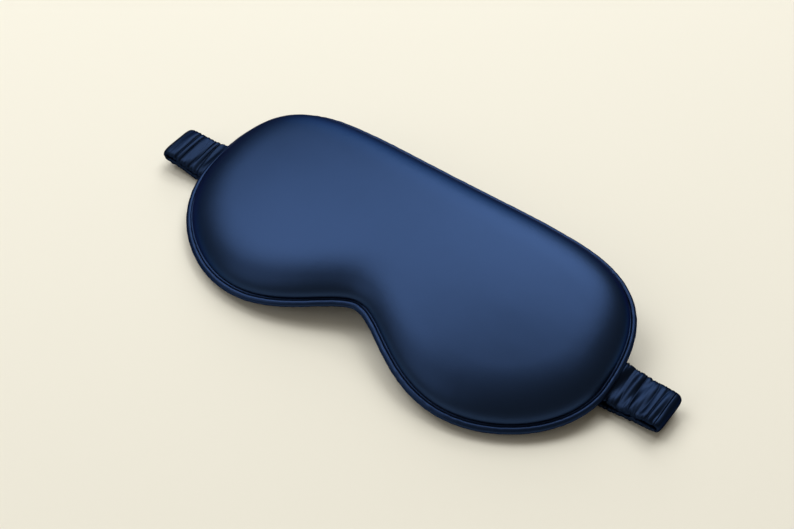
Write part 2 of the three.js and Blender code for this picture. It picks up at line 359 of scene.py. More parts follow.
@dataclass(frozen=True)
class Ribbed:
    """Woven elastic, with rubber ribs along it and weft threads across.

    Attributes:
        name: the material's name.
        colour: of the ribs.
        shade: colour between them.
        rib: from one rib to the next.
        weft: weft threads to a rib's width.
        waver: how unsteady the weft is.
        depth: of the relief.
    """

    name: str
    colour: Colour
    shade: Colour
    rib: float
    weft: float = 2.2
    waver: float = 0.4
    depth: float = 0.12 * MM

    def paint(self) -> bpy.types.Material:
        """Builds the material."""
        painter = Painter(self.name)
        rate = math.pi / self.rib
        ribs = painter.waves((rate, rate, rate), "Y")
        weft = painter.waves((rate * self.weft, rate, rate), "X", self.waver)
        height = ribs * 0.7 + weft * 0.3
        return painter.finish({
            "Base Color": painter.mixed(height, self.shade, self.colour),
            "Roughness": height.squeezed(0.7, 0.9),
            "Normal": painter.bump(height, self.depth),
        })


@dataclass(frozen=True)
class Paper:
    """The studio's pale, matt paper floor.

    Attributes:
        name: the material's name.
        colour: of the paper.
        tint: the darker colour that it drifts to.
        drift: its drifts to the metre.
        grain: its grains to the metre.
        grain_depth: how rough it is to the touch.
    """

    name: str
    colour: Colour
    tint: Colour
    drift: float = 1.5
    grain: float = 2500.0
    grain_depth: float = 0.02 * MM

    def paint(self) -> bpy.types.Material:
        """Builds the material."""
        painter = Painter(self.name)
        drift = painter.noise((self.drift,) * 3, detail=1.0)
        grain = painter.noise((self.grain,) * 3, detail=2.0)
        return painter.finish({
            "Base Color": painter.mixed(drift, self.colour, self.tint),
            "Roughness": 0.85,
            "Normal": painter.bump(grain, self.grain_depth),
        })


class Finish(Enum):
    """The finishes of the mask's pieces."""

    SATIN = Satin("navy_satin")
    PIPING = Satin(
        "navy_piping", deep=(0.0140, 0.0270, 0.0680), bright=(0.0165, 0.0320, 0.0800), slack=0.05 * MM
    )
    # The strap's satin: the pad's navy satin with its colours darkened to about half, as painted shade for the
    # gathered strap that lies in less light.
    GATHERED = Satin(
        "navy_gathered_satin_painted_shade", deep=(0.0090, 0.0170, 0.0400), bright=(0.0115, 0.0215, 0.0500), slack=0.1 * MM
    )
    LINING = Woven("black_lining", (0.012, 0.013, 0.018), (0.004, 0.004, 0.006), 0.35 * MM)
    WADDING = Wadding("white_wadding", (0.82, 0.80, 0.76), (0.6, 0.58, 0.54))
    CORD = Yarn("cotton_cord", (0.72, 0.70, 0.65), (0.42, 0.40, 0.36), 0.12 * MM, 0.95)
    ELASTIC = Ribbed("ribbed_elastic", (0.03, 0.035, 0.055), (0.01, 0.012, 0.02), 1.0 * MM)
    THREAD = Yarn("navy_thread", (0.022, 0.04, 0.115), (0.01, 0.018, 0.05), 0.06 * MM, 0.6)

    def paint(self) -> bpy.types.Material:
        """The finish's material, made on first use."""
        return bpy.data.materials.get(self.value.name) or self.value.paint()


def ripple(place: np.ndarray, seed: int, waves: int = 5) -> np.ndarray:
    """A smooth, aimless curve about 0, mostly within 1, whose waves are about 1 long.

    Args:
        place: where to read it.
        seed: which curve.
        waves: how many sines it is made of.

    Returns:
        Its value at each place.
    """
    slowest, fastest = 0.45, 1.3
    draw = np.random.default_rng(seed)
    total = np.zeros_like(np.asarray(place, float))
    for _ in range(waves):
        total += np.sin(TAU * place * draw.uniform(slowest, fastest) + draw.uniform(0, TAU))
    return total / math.sqrt(waves)


def smooth(share: Any) -> Any:
    """Rises smoothly from 0 at a share of 0 to 1 at a share of 1."""
    held = np.clip(share, 0, 1)
    return held * held * (3 - 2 * held)


def rounded(share: np.ndarray, power: float) -> np.ndarray:
    """Bends a share of -1 to 1 towards its ends: the lower the power, the squarer a section it gives."""
    return np.sign(share) * np.abs(share) ** power


def bezier(t: Any, start: Any, first: Any, second: Any, end: Any) -> Any:
    """The point at a share t of a curve from start to end, with its two handles' ends."""
    u = 1 - t
    return u ** 3 * start + 3 * u ** 2 * t * first + 3 * u * t * t * second + t ** 3 * end


def lengths(points: np.ndarray) -> np.ndarray:
    """How far along a line of flat points each of them lies."""
    return np.concatenate([[0], np.cumsum(np.hypot(*np.diff(points, axis=0).T))])


def places(shape: bmesh.types.BMesh) -> np.ndarray:
    """The places of a shape's vertices, one row each."""
    return np.array([vertex.co for vertex in shape.verts])


def put(shape: bmesh.types.BMesh, spots: np.ndarray) -> None:
    """Moves a shape's vertices to these places, in order."""
    for vertex, spot in zip(shape.verts, spots):
        vertex.co = spot


def made(name: str, shape: bmesh.types.BMesh, finish: Finish) -> bpy.types.Object:
    """Turns a finished shape into an object at the origin.

    Args:
        name: the piece's name.
        shape: its shape, which is freed.
        finish: what it is made of.

    Returns:
        The piece.
    """
    bmesh.ops.remove_doubles(shape, verts=shape.verts, dist=MERGE)
    bmesh.ops.recalc_face_normals(shape, faces=shape.faces)
    for face in shape.faces:
        face.smooth = True
    mesh = bpy.data.meshes.new(name)
    shape.to_mesh(mesh)
    shape.free()
    mesh.materials.append(finish.paint())
    piece = bpy.data.objects.new(name, mesh)
    bpy.context.scene.collection.objects.link(piece)
    return piece


def thicken(piece: bpy.types.Object, thickness: float, levels: int, even: bool = True) -> None:
    """Gives a sheet its thickness, inwards, and rounds it off.

    Args:
        piece: the sheet, whose faces point outwards.
        thickness: in metres.
        levels: how many times it is subdivided.
        even: whether sharp corners keep the thickness, which is no use on cloth that stretches.
    """
    wall = piece.modifiers.new("wall", "SOLIDIFY")
    wall.thickness = thickness
    wall.offset = -1.0
    wall.use_even_offset = even
    wall.thickness_clamp = 1.5
    if levels:
        rounding = piece.modifiers.new("rounding", "SUBSURF")
        rounding.levels = levels
        rounding.render_levels = levels


@dataclass(frozen=True)
class Dome:
    """A domed layer of the pad: it rises from its rim over a rounded border.

    Attributes:
        rim: how far in from the outline it starts.
        base: its rise over the seam there.
        crown: its rise in the middle. Both are below 0 on the back.
    """

    rim: float
    base: float
    crown: float

    def rise(self, depth: np.ndarray, shoulder: float, power: float) -> np.ndarray:
        """Its rise over the seam at these depths in from the outline."""
        share = np.clip((depth - self.rim) / shoulder, 0, 1)
        return self.base + (self.crown - self.base) * (1 - (1 - share) ** power) ** (1 / power)


@dataclass(frozen=True)
class Outline:
    """The pad's outline along its seam: four curves from the brow to the nose notch, and their mirror image.

    Attributes:
        half_width: from the middle to a temple.
        half_height: from the middle to the brow or the foot of a lobe.
        brow_peak_x: where the brow is highest.
        brow_dip: how far the middle of the brow lies below its peaks.
        temple_y: where the pad is widest.
        lobe_x: where each lobe is lowest.
        nose_notch: how far the notch rises over the foot of the lobes.
        handles: lengths of the curves' handles in millimetres, in order from the brow's middle to the notch.
        samples: how many steps each curve and the half outline have.
    """

    half_width: float
    half_height: float
    brow_peak_x: float = 57.6 * MM
    brow_dip: float = 1.0 * MM
    temple_y: float = 0.0
    lobe_x: float = 51.7 * MM
    nose_notch: float = 19.1 * MM
    handles: tuple[float, ...] = (29.9, 24.5, 27.2, 39.6, 26.4, 24.9, 25.1, 10.2)
    samples: int = 1600

    def half(self) -> Pair:
        """The right half from the brow to the notch, at even steps.

        Returns:
            The points, and the inward normal at each.
        """
        brow, notch = self.half_height - self.brow_dip, self.nose_notch - self.half_height
        top, foot, side = self.half_height, -self.half_height, self.half_width
        h = [length * MM for length in self.handles]
        peak_x, temple_y, lobe_x = self.brow_peak_x, self.temple_y, self.lobe_x
        curves = (
            ((0, brow), (h[0], brow), (peak_x - h[1], top), (peak_x, top)),
            ((peak_x, top), (peak_x + h[2], top), (side, temple_y + h[3]), (side, temple_y)),
            ((side, temple_y), (side, temple_y - h[4]), (lobe_x + h[5], foot), (lobe_x, foot)),
            ((lobe_x, foot), (lobe_x - h[6], foot), (h[7], notch), (0, notch)),
        )
        t = np.linspace(0, 1, self.samples)[:, None]
        line = np.concatenate([bezier(t, *np.array(curve)) for curve in curves])
        length = lengths(line)
        even = np.linspace(0, length[-1], self.samples)
        points = np.stack([np.interp(even, length, line[:, axis]) for axis in (0, 1)], axis=1)
        along = np.gradient(points, axis=0)
        along[0], along[-1] = (1, 0), (-1, 0)
        along /= np.linalg.norm(along, axis=1)[:, None]
        return points, np.stack([along[:, 1], -along[:, 0]], axis=1)

    def at(self, turn: np.ndarray) -> Pair:
        """The outline at turns from 0, the middle of the brow, by way of the left temple.

        Args:
            turn: in radians, from 0 to a full turn.

        Returns:
            The points, and the inward normals.
        """
        points, normals = self.half()
        left = turn < math.pi
        share = np.where(left, turn, TAU - turn) / math.pi
        grid = np.linspace(0, 1, len(points))
        side = np.where(left, -1, 1)
        read = [np.interp(share, grid, column) for column in (*points.T, *normals.T)]
        return np.stack([side * read[0], read[1]], axis=1), np.stack([side * read[2], read[3]], axis=1)

    def depth(self, spots: np.ndarray) -> np.ndarray:
        """How far in from the outline these spots lie."""
        line = self.half()[0][::3]
        return np.array([np.hypot(line[:, 0] - abs(x), line[:, 1] - y).min() for x, y in spots])


@dataclass(frozen=True)
class Seam:
    """The curved surface that the pad's seam lies on, because the pad bends round a face.

    Attributes:
        outline: the pad's outline.
        temple_lift: its height over the ground at the temples.
        bridge_rise: how much higher the middle is than the temples.
        bridge_power: above 2, the rise is flat in the middle and steep at the temples.
        lean: rise for each metre towards the brow.
        cup: how far the brow and the lobes' feet curve down.
    """

    outline: Outline
    temple_lift: float = 9.8 * MM
    bridge_rise: float = 10.0 * MM
    bridge_power: float = 2.5
    lean: float = 0.2
    cup: float = 3.3 * MM

    def height(self, x: Any, y: Any) -> Any:
        """Its height over the ground."""
        bridge = self.bridge_rise * (1 - (np.abs(x) / self.outline.half_width) ** self.bridge_power)
        return self.temple_lift + self.lean * y + bridge - self.cup * (y / self.outline.half_height) ** 2


@dataclass(frozen=True)
class Piping:
    """The sizes of the piping round the pad's edge.

    Attributes:
        radius: of its roll.
        wall: thickness of its bias strip.
        slit: between the strip's two plies in the seam.
    """

    radius: float = 1.25 * MM
    wall: float = 0.4 * MM
    slit: float = 0.3 * MM


@dataclass(frozen=True)
class Gathers:
    """The gathers of satin that is drawn up over an elastic.

    Attributes:
        pitch: from one gather to the next.
        drift: how far they stray from even steps, as a share of the pitch.
        slant: how far they slant across the strap, as a share of the pitch.
        bow: how far they bend, as a share of the pitch.
        roundness: below 1, their crests are round and their grooves are sharp.
        usual: height of a usual gather, as a share of the crest.
        uneven: how much the heights differ.
        stitch_pitch: from one of the fine gathers between stitches to the next.
        stitch_size: height of those, as a share of the crest.
    """

    pitch: float = 5.4 * MM
    drift: float = 0.36
    slant: float = 0.17
    bow: float = 0.12
    roundness: float = 0.72
    usual: float = 0.72
    uneven: float = 0.28
    stitch_pitch: float = 2.3 * MM
    stitch_size: float = 0.2

    def height(self, place: np.ndarray, across: np.ndarray, seed: int) -> np.ndarray:
        """How high the gathers stand, from 0 in the grooves to about 1.

        Args:
            place: lengths along the strap.
            across: from -1 at one long edge to 1 at the other.
            seed: which side of the sleeve.

        Returns:
            The share of the crest's height.
        """
        share = place / self.pitch
        drift = self.drift * ripple(share / 2.2, seed) + across * self.slant * ripple(share / 3.1, seed + 1)
        bow = self.bow * across * across * ripple(share / 1.7, seed + 2)
        fold = np.abs(np.sin(math.pi * (share + drift + bow))) ** self.roundness
        size = self.usual + self.uneven * ripple(share / 1.4 + 0.4 * across, seed + 3)
        beside = 0.35 + 0.65 * np.abs(across) ** 3
        fine = self.stitched(place, 0.4 * ripple(share, seed + 4))
        return fold * np.clip(size, 0.25, 1.2) + self.stitch_size * fine * beside

    def stitched(self, place: np.ndarray, stray: np.ndarray) -> np.ndarray:
        """The fine gathers: 0 at each stitch and 1 between two, with that stray from even steps."""
        return np.abs(np.sin(math.pi * (place / self.stitch_pitch + stray))) ** 0.8


@dataclass
class Strap:
    """The elastic band in its gathered satin sleeve, from temple to temple along the ground.

    Attributes:
        seam: what the strap's ends are sewn into.
        edge: the piping that it comes out from under.
        gathers: of the sleeve.
        thickness: of the sleeve, flat.
        wall: thickness of its satin.
        fold_inside: clear height inside a fold.
        fold_lift: how far the elastic's spring holds a fold off the ground.
        rise_length: the strap leaves the ground this far before a fold.
        elastic_width: across the elastic.
        elastic_thickness: through it.
        ribs: how many ribs the elastic has across.
        tab: length held inside the seam.
        gap: left between pieces that touch.
        crest: height of a gather over the flat sleeve.
        inner_crest: the same inside the loop, as a share.
        flattened: how much of a crest is lost where the sleeve is drawn round a fold.
        pressed: what is left of a crest that lies on the ground.
        scallop: how far the sleeve's long edges draw in between stitches.
        clearance: kept between the sleeve and the ground.
        line: points of the right half's middle line, in the upright plane.
        length: how far along the strap each of them lies.
    """

    seam: Seam
    edge: Piping
    gathers: Gathers = Gathers()
    thickness: float = 2.4 * MM
    wall: float = 0.3 * MM
    fold_inside: float = 1.4 * MM
    fold_lift: float = 3.0 * MM
    rise_length: float = 26.0 * MM
    elastic_width: float = 15.0 * MM
    elastic_thickness: float = 1.0 * MM
    ribs: int = 15
    tab: float = 6.0 * MM
    gap: float = 0.3 * MM
    crest: float = 1.25 * MM
    inner_crest: float = 0.7
    flattened: float = 0.45
    pressed: float = 0.1
    scallop: float = 0.5 * MM
    clearance: float = 0.08 * MM
    line: np.ndarray = field(init=False)
    length: np.ndarray = field(init=False)

    def __post_init__(self) -> None:
        """Reads the strap's place from the frame, and lays out its right half from the middle."""
        low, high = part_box("strap_sleeve_back")
        self.middle_y = (low.y + high.y) / 2
        self.width = high.y - low.y
        self.fold_radius = (self.fold_inside + self.thickness) / 2
        self.fold_x = high.x - self.fold_radius - self.thickness / 2
        self.ground = low.z + self.thickness / 2
        self.fold_top = self.ground + self.fold_lift + 2 * self.fold_radius
        self.seat_end = self.seam.outline.half_width + self.gap + self.edge.wall
        reach = (abs(self.middle_y) + self.width / 2) / self.seam.outline.half_height
        self.seat_drop = self.edge.radius + self.seam.cup * reach ** 2 + self.gap + self.thickness / 2
        self._lay_out()

    def _seat(self, x: float) -> tuple[float, float]:
        """Where the strap's middle lies under the seam at this x."""
        return x, self.seam.height(x, self.middle_y) - self.seat_drop

    def _lay_out(self) -> None:
        """Draws the right half of the strap's middle line, from the pad's middle to the end of its tab."""
        turn = np.linspace(-math.pi / 2, math.pi / 2, 40)
        radius, top = self.fold_radius, self.fold_top
        fold = [(self.fold_x + radius * math.cos(a), top - radius * (1 - math.sin(a))) for a in turn]
        leaves = np.array(self._seat(self.seat_end))
        slope = leaves - np.array(self._seat(self.seat_end - MM))
        start = np.array([self.fold_x, self.fold_top])
        pull = (start[0] - leaves[0]) / 3
        handles = start - (pull, 0), leaves + slope / MM * pull
        rise = [bezier(t, start, *handles, leaves) for t in np.linspace(0, 1, 60)[1:]]
        temple = self.seam.outline.half_width
        inside = [self._seat(temple - depth) for depth in np.linspace(0, self.tab, 8)]
        ground_end = self.fold_x - self.rise_length
        run = [
            (x, self.ground + self.fold_lift * float(smooth((x - ground_end) / self.rise_length)))
            for x in np.linspace(0, self.fold_x, 240)[:-1]
        ]
        self.line = np.array([*run, *fold, *rise, *inside])
        self.length = lengths(self.line)
        self.fold_end = float(self.length[len(run) + len(fold) - 1])
        self.fold_start = float(self.length[len(run)])

    def along(self, place: np.ndarray) -> Pair:
        """The strap's middle line at these lengths from its middle, which are below 0 on the left.

        Args:
            place: lengths along the strap.

        Returns:
            The points in the upright plane, and the directions that point out of the loop.
        """
        side = np.where(place < 0, -1.0, 1.0)
        far = np.abs(place)
        step = 0.4 * MM
        points, ahead, behind = (
            np.stack([np.interp(far + d, self.length, self.line[:, axis]) for axis in (0, 1)], axis=1)
            for d in (0, step, -step)
        )
        tangent = ahead - behind
        tangent[far < step] = (1, 0)
        tangent /= np.linalg.norm(tangent, axis=1)[:, None]
        out = np.stack([tangent[:, 1], -tangent[:, 0]], axis=1)
        points[:, 0] *= side
        out[:, 0] *= side
        return points, out

    def tube(self, start: float, end: float, steps: int, sides: int) -> bmesh.types.BMesh:
        """The gathered sleeve between two lengths along the strap.

        Args:
            start: where it begins.
            end: where it ends.
            steps: how many rows of faces it has along the strap.
            sides: how many round it.

        Returns:
            An open tube.
        """
        shape, place, turn = self._sheet(start, end, steps, sides)
        flat, lift = rounded(np.cos(turn), 0.55), np.sin(turn)
        bend = self._bend(place)
        room_out = self.crest * (1 - self.flattened * bend) * self._off_ground(self.along(place)[0])
        room_in = self.crest * self.inner_crest * (1 - bend)
        outer, inner = (self.gathers.height(place, flat, seed) for seed in (11, 23))
        high = rounded(lift, 0.8) * self.thickness / 2
        high += np.where(lift > 0, room_out * outer, -room_in * inner) * np.abs(lift) ** 0.7
        bulge = self.gathers.stitched(place, 0.5 * ripple(place / self.gathers.pitch, 31))
        wide = flat * (self.width / 2 - self.scallop * (1 - bulge) * (1 - 0.5 * bend))
        spots = self._spots(place, wide, high)
        spots[:, 2] = np.maximum(spots[:, 2], self.clearance)
        put(shape, spots)
        return shape

    def band(self, start: float, end: float, steps: int) -> bmesh.types.BMesh:
        """The elastic between two lengths along the strap: a flat ribbed band.

        Args:
            start: where it begins.
            end: where it ends.
            steps: how many rows of faces it has along the strap.

        Returns:
            An open tube.
        """
        shape, place, turn = self._sheet(start, end, steps, 64)
        flat, lift = (rounded(share, 0.35) for share in (np.cos(turn), np.sin(turn)))
        groove = 0.08
        thick = 1 - groove + groove * np.cos(flat * math.pi * self.ribs)
        wide = flat * self.elastic_width / 2
        put(shape, self._spots(place, wide, lift * thick * self.elastic_thickness / 2))
        return shape

    @staticmethod
    def _sheet(
        start: float, end: float, steps: int, sides: int
    ) -> tuple[bmesh.types.BMesh, np.ndarray, np.ndarray]:
        """A flat grid that will be wrapped into a tube.

        Args:
            start: length along the strap where it begins.
            end: length where it ends.
            steps: how many rows of faces it has along the strap.
            sides: how many round it.

        Returns:
            The grid, and for each of its vertices the length along the strap and the angle round it.
        """
        shape = bmesh.new()
        bmesh.ops.create_grid(shape, x_segments=steps, y_segments=sides, size=0.5)
        spots = places(shape)
        return shape, start + (end - start) * (spots[:, 0] + 0.5), TAU * (spots[:, 1] + 0.5)

    def _bend(self, place: np.ndarray) -> np.ndarray:
        """1 in a fold, and 0 away from it."""
        margin, far = 2.5 * MM, np.abs(place)
        past, before = far - self.fold_start + margin, self.fold_end + margin - far
        return smooth(past / margin) * smooth(before / margin)

    def _off_ground(self, points: np.ndarray) -> np.ndarray:
        """What the ground leaves of a crest: all of it where the strap's middle line is well off it."""
        return self.pressed + (1 - self.pressed) * smooth((points[:, 1] - self.ground) / self.crest)

    def _spots(self, place: np.ndarray, wide: np.ndarray, high: np.ndarray) -> np.ndarray:
        """Places on the strap, whose side runs lean with the pad.

        Args:
            place: lengths along the strap.
            wide: lengths across it.
            high: heights over its middle, out of its loop.

        Returns:
            The places, one row each.
        """
        points, out = self.along(place)
        x, rise = (points + out * high[:, None]).T
        leans = 1 - smooth((np.abs(x) - self.seat_end) / (self.fold_x - self.seat_end))
        leans[np.abs(place) < self.fold_end] = 0
        return np.stack([x, self.middle_y + wide, rise + self.seam.lean * wide * leans], axis=1)

    def build(self) -> list[bpy.types.Object]:
        """Makes the sleeve and the elastic, each in a back run and two side runs.

        Returns:
            The pieces.
        """
        back_end, end = self.fold_end, float(self.length[-1])
        pieces = []
        for name, start, stop, steps in (
            ("back", -back_end, back_end, 640),
            ("left", -end, -back_end, 96),
            ("right", back_end, end, 96),
        ):
            # The sleeve takes the darkened satin, whose colours are painted shade.
            sleeve = made("sleeve_" + name, self.tube(start, stop, steps, 72), Finish.GATHERED)
            thicken(sleeve, self.wall, 0, even=False)
            elastic = made("elastic_" + name, self.band(start, stop, steps // 4), Finish.ELASTIC)
            close_ends(elastic)
            layers = (sleeve, "satin", "strap_sleeve_"), (elastic, "elastic", "strap_elastic_")
            for piece, slot, node in layers:
                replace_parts(piece, node + name)
                if name == "back":
                    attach(piece, "strap")
                else:
                    side = -1 if name == "left" else 1
                    side * self.fold_x
                    side * self.seat_end
                    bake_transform(piece)
                pieces.append(piece)
        return pieces


def close_ends(piece: bpy.types.Object) -> None:
    """Closes a tube's open ends."""
    shape = bmesh.new()
    shape.from_mesh(piece.data)
    bmesh.ops.holes_fill(shape, edges=[edge for edge in shape.edges if edge.is_boundary], sides=0)
    bmesh.ops.recalc_face_normals(shape, faces=shape.faces)
    shape.to_mesh(piece.data)
    shape.free()


@dataclass(frozen=True)
class Swelling:
    """How a panel's cloth swells over the wadding: a short cloth simulation, whose result is kept.

    Attributes:
        frames: how long it runs.
        pressure: from inside.
        cap: the most that a point moves.
        evening: how many times the swelling is averaged over neighbouring points, as the wadding evens it.
        mass: of each point.
        tension: stiffness of the threads.
        bending: stiffness of the folds.
    """

    frames: int = 20
    pressure: float = 4.0
    cap: float = 0.8 * MM
    evening: int = 60
    mass: float = 0.05
    tension: float = 40.0
    bending: float = 2.0

    def run(self, piece: bpy.types.Object, held: Sequence[int]) -> None:
        """Swells a sheet.

        Args:
            piece: the sheet, with no modifiers.
            held: the vertices that the seam holds.
        """
        piece.vertex_groups.new(name="seam").add(list(held), 1.0, "REPLACE")
        cloth = piece.modifiers.new("swelling", "CLOTH")
        cloth.point_cache.frame_end = self.frames
        settings = cloth.settings
        settings.vertex_group_mass = "seam"
        settings.use_pressure = True
        settings.uniform_pressure_force = self.pressure
        settings.mass = self.mass
        settings.tension_stiffness = self.tension
        settings.compression_stiffness = self.tension
        settings.shear_stiffness = self.tension / 3
        settings.bending_stiffness = self.bending
        settings.effector_weights.gravity = 0
        scene = bpy.context.scene
        for number in range(1, self.frames + 1):
            scene.frame_set(number)
        swollen = piece.evaluated_get(bpy.context.evaluated_depsgraph_get()).data
        rest, moved = (coordinates(mesh) for mesh in (piece.data, swollen))
        step = moved - rest
        size = np.linalg.norm(step, axis=1, keepdims=True)
        log.info("%s swells by up to %.2f mm", piece.name, size.max() / MM)
        step = self._evened(piece.data, step * self.cap / (self.cap + size), held)
        piece.modifiers.clear()
        piece.vertex_groups.clear()
        piece.data.vertices.foreach_set("co", (rest + step).astype(np.float32).ravel())
        piece.data.update()
        scene.frame_set(1)

    def _evened(self, mesh: bpy.types.Mesh, step: np.ndarray, held: Sequence[int]) -> np.ndarray:
        """Averages the points' steps with their neighbours', again and again.

        Args:
            mesh: whose edges join neighbours.
            step: each point's step.
            held: the points that stay where they are.

        Returns:
            The evened steps.
        """
        first, second = np.array([edge.vertices[:] for edge in mesh.edges]).T
        count = np.bincount(np.concatenate([first, second]), minlength=len(step))[:, None]
        for _ in range(self.evening):
            total = np.zeros_like(step)
            np.add.at(total, first, step[second])
            np.add.at(total, second, step[first])
            step = 0.5 * (step + total / count)
            step[held] = 0
        return step


def coordinates(mesh: bpy.types.Mesh) -> np.ndarray:
    """The places of a mesh's vertices, one row each."""
    spots = np.empty(len(mesh.vertices) * 3, np.float32)
    mesh.vertices.foreach_get("co", spots)
    return spots.reshape(-1, 3).astype(float)


@dataclass(frozen=True)
class Spot:
    """A point of a turned profile.

    Attributes:
        inset: how far in from the outline.
        rise: how far over the seam, where no dome says.
        dome: which of the pad's domes it lies on, or -1.
    """

    inset: float
    rise: float
    dome: int = -1


SPOT_KEYS = ("inset", "rise", "dome")


def circle(inset: float, rise: float, radius: float, sides: int) -> list[Spot]:
    """A round profile.

    Args:
        inset: of its middle from the outline.
        rise: of its middle over the seam.
        radius: its radius.
        sides: how many points it has.

    Returns:
        The points.
    """
    turns = np.linspace(0, TAU, sides + 1)[:-1]
    return [Spot(inset + radius * math.cos(a), rise + radius * math.sin(a)) for a in turns]


@dataclass
class Pad:
    """The padded part: two satin panels round a lining and a wadding, with a piped seam between them.

    Attributes:
        seam: the surface that its seam lies on.
        strap: whose ends it holds.
        edge: its piping.
        front_crown: from the seam to the top of the front panel.
        back_crown: from the seam to the bottom of the back panel.
        shoulder: width of the rounded border.
        shoulder_power: above 2, the border turns down more squarely than an ellipse.
        panel: thickness of the satin with its backing.
        liner: thickness of the lining.
        allowance: cloth turned in along the seam.
        fill_ease: the wadding is cut this much smaller than the space in the pad.
        pucker: height of the faint pleats along a rim.
        thread_radius: of the stitches.
        stitch_margin: from the piping's roll to the line of stitches.
        gap: left between pieces that touch.
        hub_inset: the meridians end this far in, on a slim oval.
        slit_inset: and this far in, on its middle line.
        hub_half_height: of the oval.
        stations: steps round the panels.
        domes: of the piece that is being made.
    """

    seam: Seam
    strap: Strap
    edge: Piping
    front_crown: float = 9.5 * MM
    back_crown: float = 6.5 * MM
    shoulder: float = 19.0 * MM
    shoulder_power: float = 2.25
    panel: float = 0.6 * MM
    liner: float = 0.4 * MM
    allowance: float = 8.0 * MM
    fill_ease: float = 0.8 * MM
    pucker: float = 0.05 * MM
    thread_radius: float = 0.25 * MM
    stitch_margin: float = 3.0 * MM
    gap: float = 0.3 * MM
    hub_inset: float = 45.0 * MM
    slit_inset: float = 55.0 * MM
    hub_half_height: float = 8.0 * MM
    stations: int = 240
    domes: list[Dome] = field(default_factory=list)

    def __post_init__(self) -> None:
        """Works out the layers' rims and bases."""
        self.outline = self.seam.outline
        self.flange = self.edge.slit / 2 + self.edge.wall
        self.hem = self.flange + self.gap
        self.rim = 2 * self.edge.radius + self.gap
        self.lining_rim = self.rim + self.panel + self.gap
        self.lining_base = self.hem + self.panel + self.gap
        self.lining_crown = self.front_crown - self.panel - self.gap
        self.zone = self.allowance + MM
        self.lip = self.strap.seat_drop + self.strap.thickness / 2 + self.gap

    def dome(self, rim: float, base: float, crown: float, rings: int = 26) -> list[Spot]:
        """A dome's profile, from the middle of the pad out to its rim.

        Args:
            rim: how far in from the outline it starts.
            base: its rise there.
            crown: its rise in the middle.
            rings: how many points its border has.

        Returns:
            The points.
        """
        self.domes.append(Dome(rim, base, crown))
        index = len(self.domes) - 1
        border = [rim + self.shoulder * (step / rings) ** 1.7 for step in range(rings, -1, -1)]
        inner = np.linspace(self.slit_inset, border[0], 12)[:-1]
        return [Spot(float(inset), crown, index) for inset in (*inner, *border)]

    def on_meridian(self, turn: np.ndarray, inset: np.ndarray) -> np.ndarray:
        """Spots on the meridians, which run square in through the hem, then to a slim oval and its middle.

        Args:
            turn: which meridian.
            inset: how far in from the outline.

        Returns:
            The spots, seen from above.
        """
        edge, inward = self.outline.at(turn)
        near = edge + inward * np.minimum(inset, self.zone)[:, None]
        hub_x = self.outline.half_width - self.hub_inset
        hub = np.stack([-hub_x * np.sin(turn), self.hub_half_height * np.cos(turn)], axis=1)
        share = np.clip((inset - self.zone) / (self.hub_inset - self.zone), 0, 1)[:, None]
        spots = near + (hub - near) * share
        close = np.clip((inset - self.hub_inset) / (self.slit_inset - self.hub_inset), 0, 1)
        spots[:, 1] *= 1 - close
        return spots

    def laid(
        self, profile: Sequence[Spot], stations: int, closed: bool = False, change: Change | None = None,
        pucker: float = 0.0, mouth: bool = False,
    ) -> bmesh.types.BMesh:
        """Runs a profile round the outline, on the curved seam.

        Args:
            profile: its points in order.
            stations: how many steps there are round the outline.
            closed: whether the profile's last point joins its first.
            change: changes the insets and rises at each turn first.
            pucker: height of the faint pleats along a dome's rim.
            mouth: whether it opens round the strap's ends.

        Returns:
            The shape, as a sheet or a closed ring.
        """
        rows = [*profile, profile[0]] if closed else list(profile)
        shape = bmesh.new()
        bmesh.ops.create_grid(shape, x_segments=stations, y_segments=len(rows) - 1, size=0.5)
        grid = places(shape)
        row = np.rint((grid[:, 1] + 0.5) * (len(rows) - 1)).astype(int)
        turn = np.rint((grid[:, 0] + 0.5) * stations) % stations * TAU / stations
        inset, rise, index = (np.array([getattr(spot, key) for spot in rows])[row] for key in SPOT_KEYS)
        if change:
            inset, rise = change(turn, inset, rise)
        spots = self.on_meridian(turn, inset)
        depth = inset.copy()
        far = inset > self.zone
        depth[far] = self.outline.depth(spots[far])
        for number, dome in enumerate(self.domes):
            here = index == number
            rise = np.where(here, dome.rise(depth, self.shoulder, self.shoulder_power), rise)
            if pucker:
                side = math.copysign(1, dome.crown)
                rise = rise + here * side * self._pleats(turn, depth - dome.rim, pucker)
        if mouth:
            rise = self._opened(spots, depth, rise, index >= 0)
        height = rise + self.seam.height(spots[:, 0], spots[:, 1])
        put(shape, np.column_stack([spots, height]))
        return shape

    @staticmethod
    def _pleats(turn: np.ndarray, inward: np.ndarray, size: float) -> np.ndarray:
        """Faint pleats that fade in from a rim, where the cloth is eased into the seam.

        Args:
            turn: which meridian.
            inward: how far in from the rim.
            size: their height.

        Returns:
            The rise that they add.
        """
        start, reach, rate = 1.5 * MM, 5 * MM, 16
        fade = smooth(inward / start) * np.exp(-np.maximum(inward, 0) / reach)
        return size * fade * ripple(turn * rate, 41)

    def _opened(
        self, spots: np.ndarray, depth: np.ndarray, rise: np.ndarray, domed: np.ndarray
    ) -> np.ndarray:
        """Drops the back panel's rim below the strap's ends, so that they can enter the seam.

        Args:
            spots: the panel's points, seen from above.
            depth: how far in from the outline they lie.
            rise: over the seam, so below 0.
            domed: which of them lie on the dome, and not on the hem.

        Returns:
            The new rises.
        """
        beside, behind, drop, turn_in = 5 * MM, 3 * MM, 1.7 * MM, 0.8 * MM
        aside = 1 - smooth(self._beside_strap(spots) / beside)
        inner = self.outline.half_width - self.strap.tab - MM
        weight = aside * smooth((np.abs(spots[:, 0]) - inner + behind) / behind)
        belly = self.lip + drop * (1 - np.exp(-np.maximum(depth - self.rim, 0) / turn_in))
        target = np.where(domed, np.maximum(-rise, belly), self.lip + (-rise - self.hem))
        return -(-rise + (target + rise) * weight)

